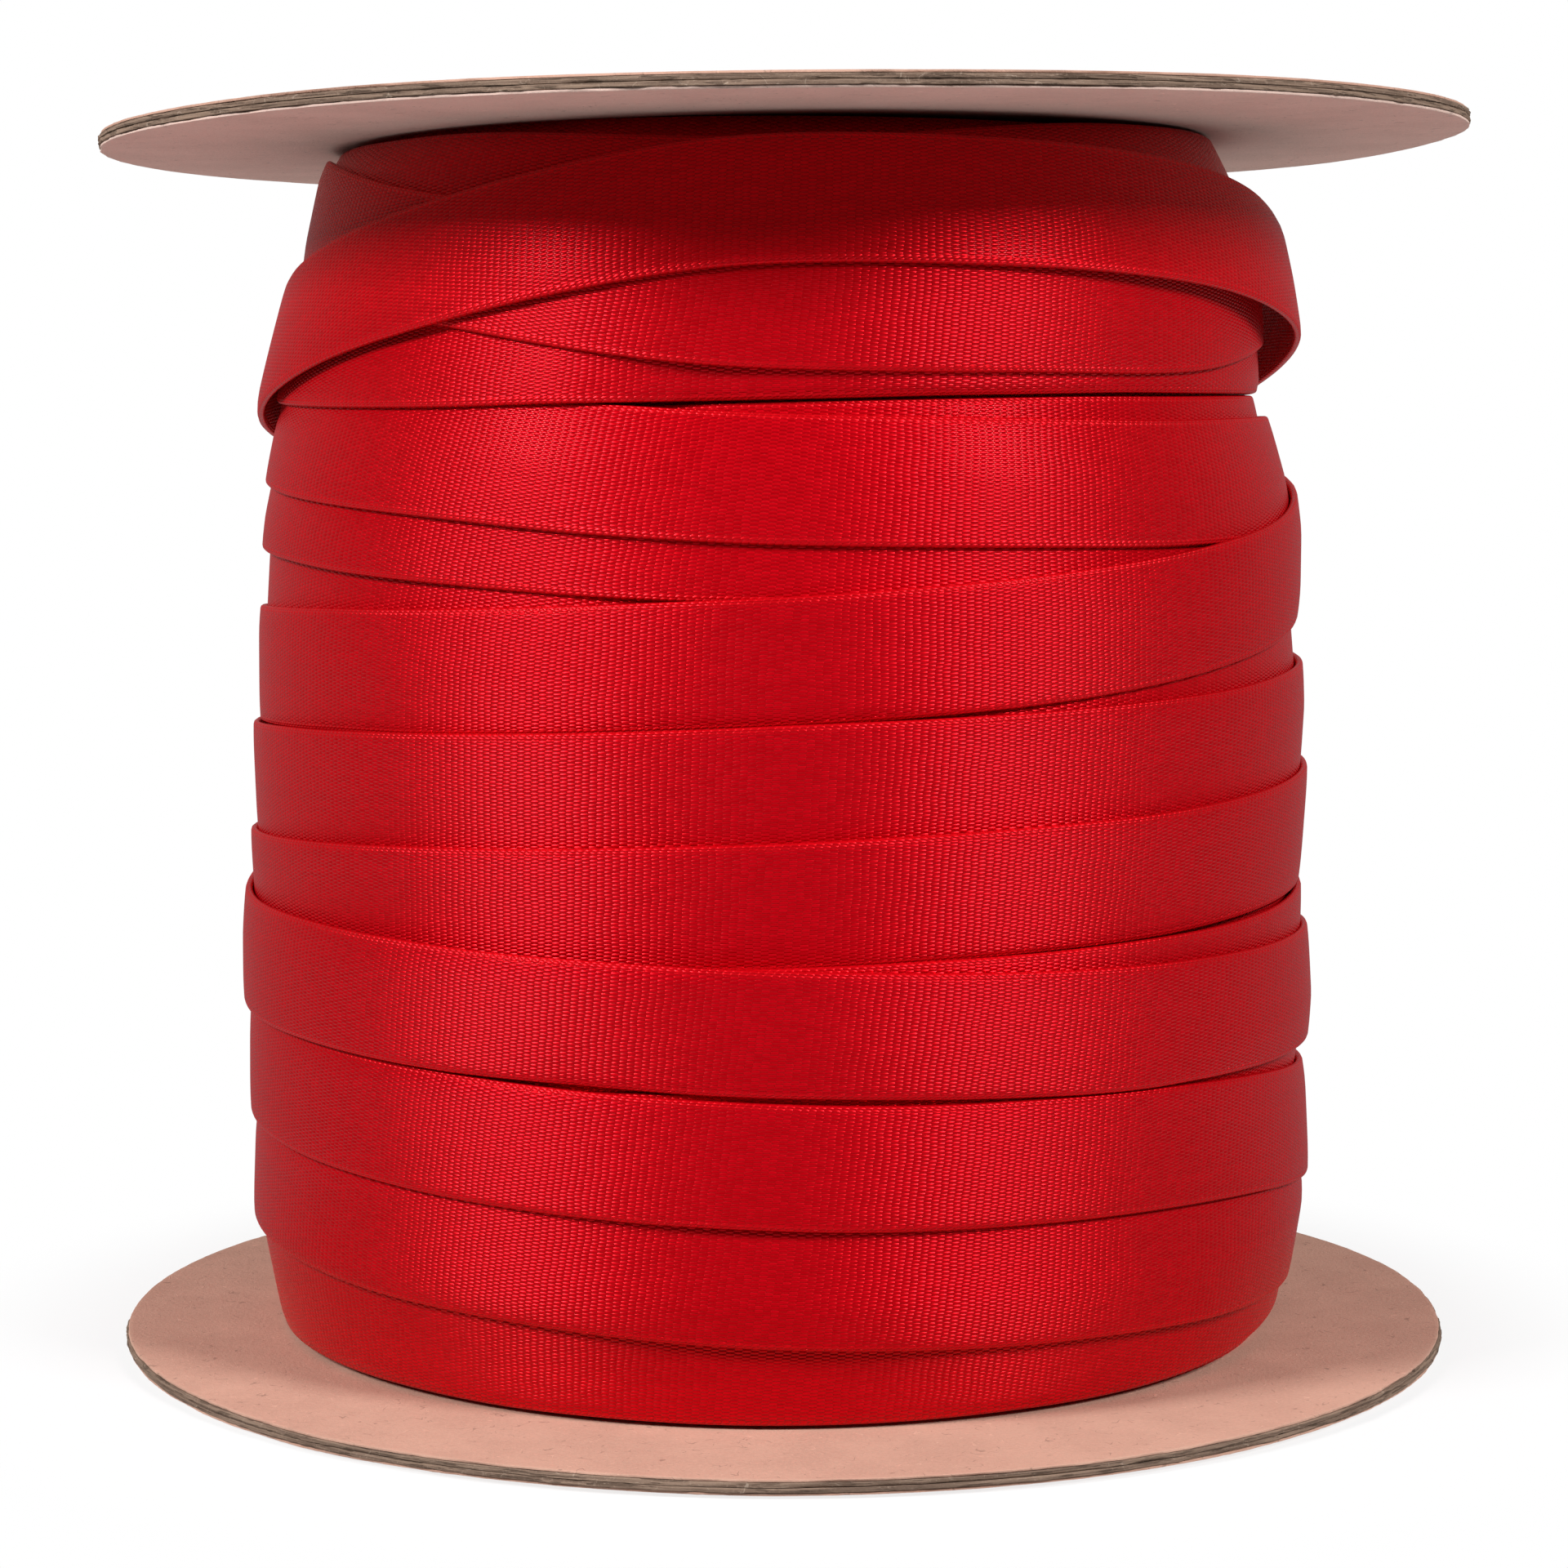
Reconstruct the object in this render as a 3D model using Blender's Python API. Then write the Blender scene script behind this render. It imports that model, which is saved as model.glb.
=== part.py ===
"""A cardboard reel wound with woven tape, at rest.

Metres, +Z up along the reel's axis.  The origin is on the axis, in the plane the reel stands on.
Right is +X, the front is -Y, and the tape is laid clockwise as seen from above.
"""

import math

import bmesh
import bpy
import numpy as np

# Flanges: two greyboard plies between two paper facings
FLANGE_RADIUS = 0.0762
PLY_THICKNESS = 0.0005
FACING_THICKNESS = 0.00025
GLUE_LINE = 0.00005
FACING_TRIM = 0.0002
SPINDLE_RADIUS = 0.013
FLANGE_SEGMENTS = 64

# Core: a wound paper tube between the flanges, with a bead of glue inside each end
TRAVERSE = 0.1334
CORE_BORE_RADIUS = 0.022
LINER_THICKNESS = 0.0005
TUBE_THICKNESS = 0.002
WRAP_THICKNESS = 0.0005
BEAD_LEG = 0.002
CORE_SEGMENTS = 48

# Tape
TAPE_WIDTH = 0.013
TAPE_THICKNESS = 0.00055
TAPE_GAP = 0.0002
FLANGE_CLEARANCE = 0.0003
CUT_GAP = 0.0003

# Inner winding: its outside, as (share of the height, radius), pushed a little to the left
INNER_WINDING = [
    (0.00, 0.0556),
    (0.14, 0.0571),
    (0.33, 0.0583),
    (0.50, 0.0582),
    (0.62, 0.0568),
    (0.73, 0.0538),
    (0.82, 0.0515),
    (0.92, 0.0506),
    (1.00, 0.0500),
]
WINDING_OFFSET = 0.0006

# The outer turns, in the order they are laid.  Each row is one turn, and gives the place of the
# tape's middle in percent of the way from the lower flange to the upper one, at the shares of a
# turn in KNOT_SHARES: the back, right, front right, front, front left and left.  The next row goes
# on from there, and END is where a length of tape ends.
KNOT_SHARES = (0.0, 0.25, 0.375, 0.5, 0.625, 0.75)
OLDER_TURNS = [
    (99.6, 99.9, 99.8, 98.0, 99.7, 99.8),
    (93.0, 88.6, 88.3, 87.8, 86.2, 84.8),
    (80.5, 77.1, 76.8, 76.2, 75.2, 74.0),
]
OLDER_END = 70.0
OUTER_TURNS = [
    (56.5, 58.5, 60.0, 61.3, 64.1, 66.4),
    (69.0, 69.8, 69.9, 70.3, 72.0, 74.0),
    (75.0, 75.2, 74.7, 75.2, 77.6, 80.2),
    (84.0, 88.1, 87.9, 87.2, 86.6, 87.4),
    (90.5, 92.8, 89.4, 89.6, 94.4, 99.6),
    (86.5, 69.0, 63.3, 60.1, 58.5, 57.5),
    (55.1, 52.7, 50.9, 49.5, 47.9, 46.6),
    (44.7, 42.9, 41.2, 39.8, 38.0, 36.5),
    (34.3, 31.8, 30.3, 29.3, 27.9, 26.3),
    (23.8, 21.3, 20.1, 18.8, 17.6, 16.3),
    (14.2, 12.2, 10.9, 9.6, 8.4, 7.1),
    (3.8, 1.3, 0.7, 0.4, 0.4, 0.4),
    (0.4, 2.5, 0.6, 0.3, 0.3, 0.3),
    (1.7, 4.2, 6.1, 7.4, 9.2, 10.5),
    (12.2, 14.2, 16.9, 17.8, 19.4, 20.8),
    (24.3, 27.5, 28.0, 29.1, 30.3, 31.5),
]
LAST_TURN = [(69.0, 92.2, 97.3, 98.3, 93.0, 85.2)]
LAST_END = 73.0
# How far the loose last turn stands off at the back, right, front, left and back again
LAST_TURN_SLACK = (0.0002, 0.0016, 0.0004, 0.0003, 0.0002)

# How finely the laying is worked out: stations round a turn, bins up the winding, the leans of the
# tape that are tried, and how many stations behind itself a tape can first be crossed
STATIONS = 40
BIN = 0.0005
LEANS = np.linspace(-0.16, 0.16, 33)
SETTLING_STATIONS = 3

FLANGE_THICKNESS = 2 * (PLY_THICKNESS + FACING_THICKNESS) + 3 * GLUE_LINE
REEL_HEIGHT = TRAVERSE + 2 * FLANGE_THICKNESS
CORE_RADIUS = CORE_BORE_RADIUS + LINER_THICKNESS + TUBE_THICKNESS + WRAP_THICKNESS + 2 * GLUE_LINE
LOWEST_EDGE = FLANGE_THICKNESS + FLANGE_CLEARANCE
HIGHEST_EDGE = REEL_HEIGHT - FLANGE_THICKNESS - FLANGE_CLEARANCE


def clear_scene():
    for obj in list(bpy.data.objects):
        bpy.data.objects.remove(obj, do_unlink=True)


def finish(name, colour, roughness):
    """A plain Principled material."""
    material = bpy.data.materials.new(name)
    material.use_nodes = True
    shader = material.node_tree.nodes["Principled BSDF"]
    shader.inputs["Base Color"].default_value = (*colour, 1.0)
    shader.inputs["Roughness"].default_value = roughness
    shader.inputs["Metallic"].default_value = 0.0
    return material


def named_object(name, shape, material):
    """Closes a bmesh into an object of that name."""
    bmesh.ops.recalc_face_normals(shape, faces=shape.faces)
    mesh = bpy.data.meshes.new(name)
    shape.to_mesh(mesh)
    shape.free()
    mesh.materials.append(material)
    mesh.shade_smooth()
    mesh.set_sharp_from_angle(angle=math.radians(30))
    obj = bpy.data.objects.new(name, mesh)
    bpy.context.scene.collection.objects.link(obj)
    return obj


def turned(name, profile, segments, material, centre_x=0.0):
    """Spins a closed outline of (radius, height) points once round the axis."""
    shape = bmesh.new()
    points = [shape.verts.new((radius, 0.0, height)) for radius, height in profile]
    edges = [shape.edges.new((a, b)) for a, b in zip(points, points[1:] + points[:1])]
    bmesh.ops.spin(
        shape,
        geom=points + edges,
        cent=(0.0, 0.0, 0.0),
        axis=(0.0, 0.0, 1.0),
        angle=2 * math.pi,
        steps=segments,
        use_merge=True,
    )
    bmesh.ops.remove_doubles(shape, verts=shape.verts, dist=1e-6)
    bmesh.ops.translate(shape, vec=(centre_x, 0.0, 0.0), verts=shape.verts)
    return named_object(name, shape, material)


def ring(name, inner, outer, low, high, segments, material):
    profile = [(inner, low), (outer, low), (outer, high), (inner, high)]
    return turned(name, profile, segments, material)


def make_flange(side, base, greyboard, kraft):
    """Four pasted layers, from the bottom up.  The outer side of the lower flange is its bottom."""
    names = ["outer_facing", "outer_ply", "inner_ply", "inner_facing"]
    if side == "upper":
        names.reverse()
    low = base
    for name in names:
        is_facing = name.endswith("facing")
        thickness = FACING_THICKNESS if is_facing else PLY_THICKNESS
        trim = FACING_TRIM if is_facing else 0.0
        ring(
            f"{side}_{name}",
            SPINDLE_RADIUS + trim,
            FLANGE_RADIUS - trim,
            low,
            low + thickness,
            FLANGE_SEGMENTS,
            kraft if is_facing else greyboard,
        )
        low += thickness + GLUE_LINE


def make_core(paper, glue):
    """The tube's three plies, and the two beads of glue that hold it to the flanges."""
    low = FLANGE_THICKNESS + GLUE_LINE
    high = REEL_HEIGHT - low
    inner = CORE_BORE_RADIUS
    plies = [("liner", LINER_THICKNESS), ("tube", TUBE_THICKNESS), ("wrap", WRAP_THICKNESS)]
    for name, thickness in plies:
        ring(f"core_{name}", inner, inner + thickness, low, high, CORE_SEGMENTS, paper)
        inner += thickness + GLUE_LINE
    wall = CORE_BORE_RADIUS - GLUE_LINE
    for side, face, up in (("lower", low, 1), ("upper", high, -1)):
        profile = [(wall, face), (wall - BEAD_LEG, face), (wall, face + up * BEAD_LEG)]
        turned(f"{side}_glue_bead", profile, CORE_SEGMENTS, glue)


def winding_radius(height):
    """The inner winding's outside radius at a height."""
    shares, radii = zip(*INNER_WINDING)
    share = (height - LOWEST_EDGE) / (HIGHEST_EDGE - LOWEST_EDGE)
    return np.interp(share, shares, radii)


def make_inner_winding(material):
    span = HIGHEST_EDGE - LOWEST_EDGE
    outside = [(radius, LOWEST_EDGE + share * span) for share, radius in INNER_WINDING]
    inside = CORE_RADIUS + TAPE_GAP + WINDING_OFFSET
    profile = outside + [(inside, HIGHEST_EDGE), (inside, LOWEST_EDGE)]
    turned("inner_winding", profile, STATIONS, material, centre_x=-WINDING_OFFSET)


def smooth_through(places, knots):
    """Values at every station of a curve through knots at the given stations, with no overshoot."""
    places, knots = np.array(places), np.array(knots)
    widths = np.diff(places)
    rises = np.diff(knots) / widths
    product = rises[:-1] * rises[1:]
    total = np.where(product > 0, rises[:-1] + rises[1:], 1.0)
    slopes = np.where(product > 0, 2 * product / total, 0.0)
    slopes = np.concatenate([rises[:1], slopes, rises[-1:]])
    stations = np.arange(round(places[-1]) + 1)
    at = np.clip(np.searchsorted(places, stations, side="right") - 1, 0, len(widths) - 1)
    t = (stations - places[at]) / widths[at]
    return (
        (1 + 2 * t) * (1 - t) ** 2 * knots[at]
        + t * (1 - t) ** 2 * widths[at] * slopes[at]
        + t * t * (3 - 2 * t) * knots[at + 1]
        + t * t * (t - 1) * widths[at] * slopes[at + 1]
    )


def path_through(turns, end):
    """The path of a length of tape, in percent at every station."""
    places = [STATIONS * (turn + share) for turn in range(len(turns)) for share in KNOT_SHARES]
    knots = [place for turn in turns for place in turn]
    return smooth_through(places + [STATIONS * len(turns)], knots + [end])


def slack_of_last_turn():
    places = np.linspace(0, STATIONS, len(LAST_TURN_SLACK))
    return smooth_through(places, LAST_TURN_SLACK)


def tape_heights(turns, end):
    """The height of the tape's middle at every station of a length of tape."""
    percent = path_through(turns, end)
    low = LOWEST_EDGE + TAPE_WIDTH / 2
    high = HIGHEST_EDGE - TAPE_WIDTH / 2
    return low + percent / 100 * (high - low)


def azimuth(station):
    """The tape starts at the back and runs to the right, the front and the left."""
    return math.pi / 2 - 2 * math.pi * station / STATIONS


def bare_surface():
    """Where the next tape may lie: a radius for each station round and each bin up the winding."""
    middles = (np.arange(int(REEL_HEIGHT / BIN) + 1) + 0.5) * BIN
    columns = []
    for station in range(STATIONS):
        push = -WINDING_OFFSET * math.cos(azimuth(station))
        columns.append(winding_radius(middles) + push + TAPE_GAP)
    return middles, np.array(columns)


def lay_tape(heights, slacks, middles, surface):
    """Lays a tape flat across its width on what is there, and returns (height, radius, lean)."""
    half = TAPE_WIDTH / 2
    climbs = np.abs(np.gradient(heights)) + BIN
    laid = []

    def settle(index):
        height, radius, lean = laid[index]
        covered = np.abs(middles - height) < half + climbs[index]
        across = np.clip(middles[covered] - height, -half, half)
        top = radius + lean * across + TAPE_THICKNESS + TAPE_GAP
        column = surface[index % STATIONS]
        column[covered] = np.maximum(column[covered], top)

    for index, height in enumerate(heights):
        near = surface[[(index + shift) % STATIONS for shift in (-1, 0, 1)]].max(axis=0)
        reach = math.ceil(climbs[index] / BIN)
        shifted = [np.roll(near, shift) for shift in range(-reach, reach + 1)]
        under = np.abs(middles - height) < half + climbs[index]
        across = np.clip(middles[under] - height, -half, half)
        bumps = np.max(shifted, axis=0)[under]
        radii = [(bumps - lean * across).max() for lean in LEANS]
        best = int(np.argmin(radii))
        laid.append((height, radii[best] + slacks[index], LEANS[best]))
        if index >= SETTLING_STATIONS:
            settle(index - SETTLING_STATIONS)
    for index in range(max(0, len(laid) - SETTLING_STATIONS), len(laid)):
        settle(index)
    return laid


def make_turn(name, laid, first, last, material):
    """One turn of the tape, from station first to station last, cut short by half a gap."""
    half = TAPE_WIDTH / 2
    shape = bmesh.new()
    rings = []
    for station in range(first, last + 1):
        height, radius, lean = laid[station]
        trim = {first: 0.5, last: -0.5}.get(station, 0.0) * CUT_GAP / radius
        angle = azimuth(station) - trim
        corners = []
        for across, out in ((-half, 0), (-half, 1), (half, 1), (half, 0)):
            distance = radius + lean * across + out * TAPE_THICKNESS
            place = (distance * math.cos(angle), distance * math.sin(angle), height + across)
            corners.append(shape.verts.new(place))
        rings.append(corners)
    for before, after in zip(rings, rings[1:]):
        for side in range(4):
            following = (side + 1) % 4
            shape.faces.new((before[side], before[following], after[following], after[side]))
    shape.faces.new(rings[0])
    shape.faces.new(rings[-1])
    bmesh.ops.triangulate(shape, faces=shape.faces)
    return named_object(name, shape, material)


def make_outer_turns(material):
    """The turns that show, laid one over the other, and the loose last turn."""
    middles, surface = bare_surface()
    older = tape_heights(OLDER_TURNS, OLDER_END)
    newer = tape_heights(OUTER_TURNS + LAST_TURN, LAST_END)
    tight = np.zeros(len(OUTER_TURNS) * STATIONS)
    slack = np.concatenate([tight, slack_of_last_turn()])
    lengths = [
        (len(OLDER_TURNS), lay_tape(older, np.zeros(len(older)), middles, surface)),
        (len(OUTER_TURNS), lay_tape(newer, slack, middles, surface)),
    ]
    number = 0
    for count, laid in lengths:
        for turn in range(count):
            number += 1
            first = turn * STATIONS
            make_turn(f"tape_turn_{number:02d}", laid, first, first + STATIONS, material)
    final = lengths[-1][1]
    make_turn("tape_last_turn", final, len(final) - 1 - STATIONS, len(final) - 1, material)


def main():
    clear_scene()
    kraft = finish("kraft facing", (0.52, 0.33, 0.25), 0.85)
    greyboard = finish("greyboard", (0.22, 0.18, 0.14), 0.95)
    paper = finish("core paper", (0.45, 0.32, 0.22), 0.85)
    glue = finish("hot-melt glue", (0.80, 0.70, 0.45), 0.35)
    tape = finish("woven tape", (0.60, 0.002, 0.008), 0.40)
    make_flange("lower", 0.0, greyboard, kraft)
    make_flange("upper", REEL_HEIGHT - FLANGE_THICKNESS, greyboard, kraft)
    make_core(paper, glue)
    make_inner_winding(tape)
    make_outer_turns(tape)


main()
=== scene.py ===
"""A cardboard reel of woven tape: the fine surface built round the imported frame.

Metres, +Z up along the reel's axis.  Right is +X, the front is -Y, and the tape is laid clockwise
as seen from above.
"""

import math

import bpy
import numpy as np
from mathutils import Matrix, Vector, noise


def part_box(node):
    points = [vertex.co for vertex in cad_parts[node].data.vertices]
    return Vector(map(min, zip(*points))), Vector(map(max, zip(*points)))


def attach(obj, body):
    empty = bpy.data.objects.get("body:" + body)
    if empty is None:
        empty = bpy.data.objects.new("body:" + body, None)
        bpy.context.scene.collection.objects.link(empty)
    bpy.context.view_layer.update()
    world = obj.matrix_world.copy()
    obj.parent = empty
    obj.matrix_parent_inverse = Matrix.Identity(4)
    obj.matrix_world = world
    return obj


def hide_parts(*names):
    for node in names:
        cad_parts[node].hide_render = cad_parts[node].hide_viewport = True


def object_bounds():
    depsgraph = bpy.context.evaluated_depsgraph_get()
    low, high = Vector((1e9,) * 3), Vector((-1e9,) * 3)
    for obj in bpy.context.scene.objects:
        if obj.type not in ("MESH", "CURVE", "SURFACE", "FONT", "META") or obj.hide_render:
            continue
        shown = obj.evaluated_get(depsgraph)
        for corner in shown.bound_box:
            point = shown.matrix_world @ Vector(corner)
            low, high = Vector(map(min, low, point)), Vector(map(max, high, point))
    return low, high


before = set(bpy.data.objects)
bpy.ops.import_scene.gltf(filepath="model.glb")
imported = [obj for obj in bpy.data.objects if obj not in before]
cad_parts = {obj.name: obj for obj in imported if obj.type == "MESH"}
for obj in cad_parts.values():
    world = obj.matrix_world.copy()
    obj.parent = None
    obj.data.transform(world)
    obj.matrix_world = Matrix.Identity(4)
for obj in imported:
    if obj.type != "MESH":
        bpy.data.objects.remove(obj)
cad_low, cad_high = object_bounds()


def radii(node):
    """The smallest and largest distance of a node's points from the reel's axis."""
    distances = [math.hypot(v.co.x, v.co.y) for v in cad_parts[node].data.vertices]
    return min(distances), max(distances)


# Sizes that the frame gives
FLANGE_RADIUS = radii("lower_outer_ply")[1]
REEL_HEIGHT = cad_high.z
WINDING_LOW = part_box("inner_winding")[0].z
WINDING_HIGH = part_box("inner_winding")[1].z

# The flanges sit askew on the core, their right sides higher
UPPER_TILT = math.radians(0.86)
LOWER_TILT = math.radians(0.12)
# How rough the rims of the paper and of the board are
PAPER_WEAR = 0.00030
BOARD_WEAR = 0.00042

# The seam that each ply of the core shows
SEAM_WIDTH = 0.0006
SEAM_DEPTH = 0.00012

# Tape
TAPE_WIDTH = 0.013
TAPE_HALF = TAPE_WIDTH / 2
TAPE_THICKNESS = 0.00080
TAPE_GAP = 0.00001
CROWN = 0.00010
# How far its path wanders from the plan
WANDER = 0.00012
# Its weave: from one thread to the next across it and along it, and a row of loops at its edge
END_PITCH = 0.000195
PICK_PITCH = 0.00081
LOOP_ROW = 0.00034

# Inner winding: its outside, as (share of the height, radius), pushed a little to the left
INNER_WINDING = [
    (0.00, 0.0561),
    (0.14, 0.0577),
    (0.33, 0.0590),
    (0.50, 0.0586),
    (0.62, 0.0571),
    (0.73, 0.0545),
    (0.82, 0.0520),
    (0.92, 0.0514),
    (0.97, 0.0498),
    (1.00, 0.0465),
]
WINDING_OFFSET = 0.0006
# The steps that the buried turns make in it, and the radius that their weave is measured at
RIDGE_PITCH = 0.82 * TAPE_WIDTH
RIDGE_DEPTH = 0.0006
WEAVE_RADIUS = 0.056

# The middling radius of the tape near the flanges, and over the whole winding
TOP_RADIUS = 0.055
MEAN_RADIUS = 0.058

# The outer turns, in the order they are laid.  Each row is one turn, and gives the place of the
# tape's middle in percent of the way from the lower flange to the upper one, at the shares of a
# turn in KNOT_SHARES: the back, right, front right, front, front left and left.  The next row goes
# on from there, and END is where a length of tape ends.
KNOT_SHARES = (0.0, 0.25, 0.375, 0.5, 0.625, 0.75)
OLDER_TURNS = [
    (99.6, 99.9, 99.8, 98.0, 99.7, 99.8),
    (93.0, 88.6, 88.3, 87.8, 86.2, 84.8),
    (80.5, 77.1, 76.8, 76.2, 75.2, 74.0),
]
OLDER_END = 70.0
OUTER_TURNS = [
    (56.5, 58.5, 60.0, 61.3, 64.1, 66.4),
    (69.0, 69.8, 69.9, 70.3, 72.0, 74.0),
    (75.0, 75.2, 74.7, 75.2, 77.6, 80.2),
    (84.0, 88.1, 87.9, 87.2, 86.6, 87.4),
    (90.5, 92.8, 89.4, 89.6, 94.4, 99.6),
    (86.5, 69.0, 63.3, 60.1, 58.5, 57.5),
    (55.1, 52.7, 50.9, 49.5, 47.9, 46.6),
    (44.7, 42.9, 41.2, 39.8, 38.0, 36.5),
    (34.3, 31.8, 30.3, 29.3, 27.9, 26.3),
    (23.8, 21.3, 20.1, 18.8, 17.6, 16.3),
    (14.2, 12.2, 10.9, 9.6, 8.4, 7.1),
    (3.8, 1.3, 0.7, 0.4, 0.4, 0.4),
    (0.4, 2.5, 0.6, 0.3, 0.3, 0.3),
    (1.7, 4.2, 6.1, 7.4, 9.2, 10.5),
    (12.2, 14.2, 16.9, 17.8, 19.4, 20.8),
    (24.3, 27.5, 28.0, 29.1, 30.3, 31.5),
    (69.0, 92.2, 97.3, 98.3, 93.0, 85.2),
]
OUTER_END = 73.0
# How far the loose last turn stands off at every eighth of a turn from the back, and how much
# further its lower edge does
LAST_TURN_SLACK = (0.0002, 0.0016, 0.0030, 0.0007, 0.0002, 0.0003, 0.0012, 0.0006, 0.0002)
LOWER_EDGE_SLACK = 0.15

# How finely the laying is worked out: stations round a turn, how many of them the tape feels on
# either side, bins up the winding, shares of the tape's half width and the leans that are tried
STATIONS = 180
REACH = 3
BIN = 0.00025
SHARES = np.linspace(-1.0, 1.0, 27)
LEANS = np.linspace(-0.22, 0.22, 45)
# How much of a flat board, rather than a soft skin, the tape is across its width
FLATNESS = 0.45
# How the strips and the wound body are divided
BODY_ROWS = 160
FACE_COLUMNS = 13
BACK_COLUMNS = 4
EDGE_STEPS = 4

# Studio light, as strengths of the surroundings
FRONT_GLOW = 0.07
BACKDROP_GLOW = 0.26
TABLE_GLOW = 0.80


# ---------------------------------------------------------------- shader building

def new_material(name, roughness, specular=0.5):
    """A Principled material with its constants set on its own sockets."""
    material = bpy.data.materials.new(name)
    material.use_nodes = True
    shader = material.node_tree.nodes["Principled BSDF"]
    shader.inputs["Roughness"].default_value = roughness
    shader.inputs["Specular IOR Level"].default_value = specular
    return material, material.node_tree, shader


def new_group(name, inputs, outputs):
    """An empty node group with named sockets.  Inputs are (name, kind, default)."""
    group = bpy.data.node_groups.new(name, "ShaderNodeTree")
    for label, kind, default in inputs:
        socket = group.interface.new_socket(label, in_out="INPUT", socket_type=f"NodeSocket{kind}")
        if default is not None:
            socket.default_value = default
    for label, kind in outputs:
        group.interface.new_socket(label, in_out="OUTPUT", socket_type=f"NodeSocket{kind}")
    entry = group.nodes.new("NodeGroupInput")
    leave = group.nodes.new("NodeGroupOutput")
    return group, entry.outputs, leave.inputs


def feed(tree, socket, value):
    """Links an output to a socket, or sets the socket to a number."""
    if isinstance(value, bpy.types.NodeSocket):
        tree.links.new(value, socket)
    elif value is not None:
        socket.default_value = value


def maths(tree, operation, *values, clamp=False):
    node = tree.nodes.new("ShaderNodeMath")
    node.operation = operation
    node.use_clamp = clamp
    for socket, value in zip(node.inputs, values):
        feed(tree, socket, value)
    return node.outputs[0]


def scaled(tree, vector, factors):
    """A vector stretched by a factor on each axis."""
    node = tree.nodes.new("ShaderNodeMapping")
    feed(tree, node.inputs["Vector"], vector)
    node.inputs["Scale"].default_value = factors
    return node.outputs[0]


def noise_value(tree, vector, scale, detail=2.0, roughness=0.5, distortion=0.0):
    node = tree.nodes.new("ShaderNodeTexNoise")
    feed(tree, node.inputs["Vector"], vector)
    node.inputs["Scale"].default_value = scale
    node.inputs["Detail"].default_value = detail
    node.inputs["Roughness"].default_value = roughness
    node.inputs["Distortion"].default_value = distortion
    return node.outputs["Fac"]


def stepped(tree, value, low, high, to_low=0.0, to_high=1.0):
    """A value eased from one range into another."""
    node = tree.nodes.new("ShaderNodeMapRange")
    node.interpolation_type = "SMOOTHSTEP"
    feed(tree, node.inputs["Value"], value)
    node.inputs["From Min"].default_value = low
    node.inputs["From Max"].default_value = high
    node.inputs["To Min"].default_value = to_low
    node.inputs["To Max"].default_value = to_high
    return node.outputs["Result"]


def blended(tree, factor, first, second, mode="MIX"):
    """Two colours mixed by a factor."""
    node = tree.nodes.new("ShaderNodeMix")
    node.data_type = "RGBA"
    node.blend_type = mode
    feed(tree, node.inputs["Factor"], factor)
    for socket, value in ((node.inputs[6], first), (node.inputs[7], second)):
        feed(tree, socket, value if isinstance(value, bpy.types.NodeSocket) else (*value, 1.0))
    return node.outputs[2]


def bumped(tree, height, distance, strength=1.0):
    node = tree.nodes.new("ShaderNodeBump")
    node.inputs["Strength"].default_value = strength
    node.inputs["Distance"].default_value = distance
    feed(tree, node.inputs["Height"], height)
    return node.outputs["Normal"]


def group_node(tree, group, **values):
    node = tree.nodes.new("ShaderNodeGroup")
    node.node_tree = group
    for label, value in values.items():
        feed(tree, node.inputs[label.replace("_", " ")], value)
    return node.outputs


def own_place(tree):
    return tree.nodes.new("ShaderNodeTexCoord").outputs["Object"]


# ---------------------------------------------------------------- effects

def dome(tree, along, across, length, width):
    """The rounded top of one float of thread, along and across it from its middle."""
    end = maths(tree, "MULTIPLY", maths(tree, "MULTIPLY", along, along), -length)
    side = maths(tree, "MULTIPLY", maths(tree, "MULTIPLY", across, across), -width)
    return maths(tree, "ADD", maths(tree, "ADD", end, side), 1.0, clamp=True)


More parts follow.
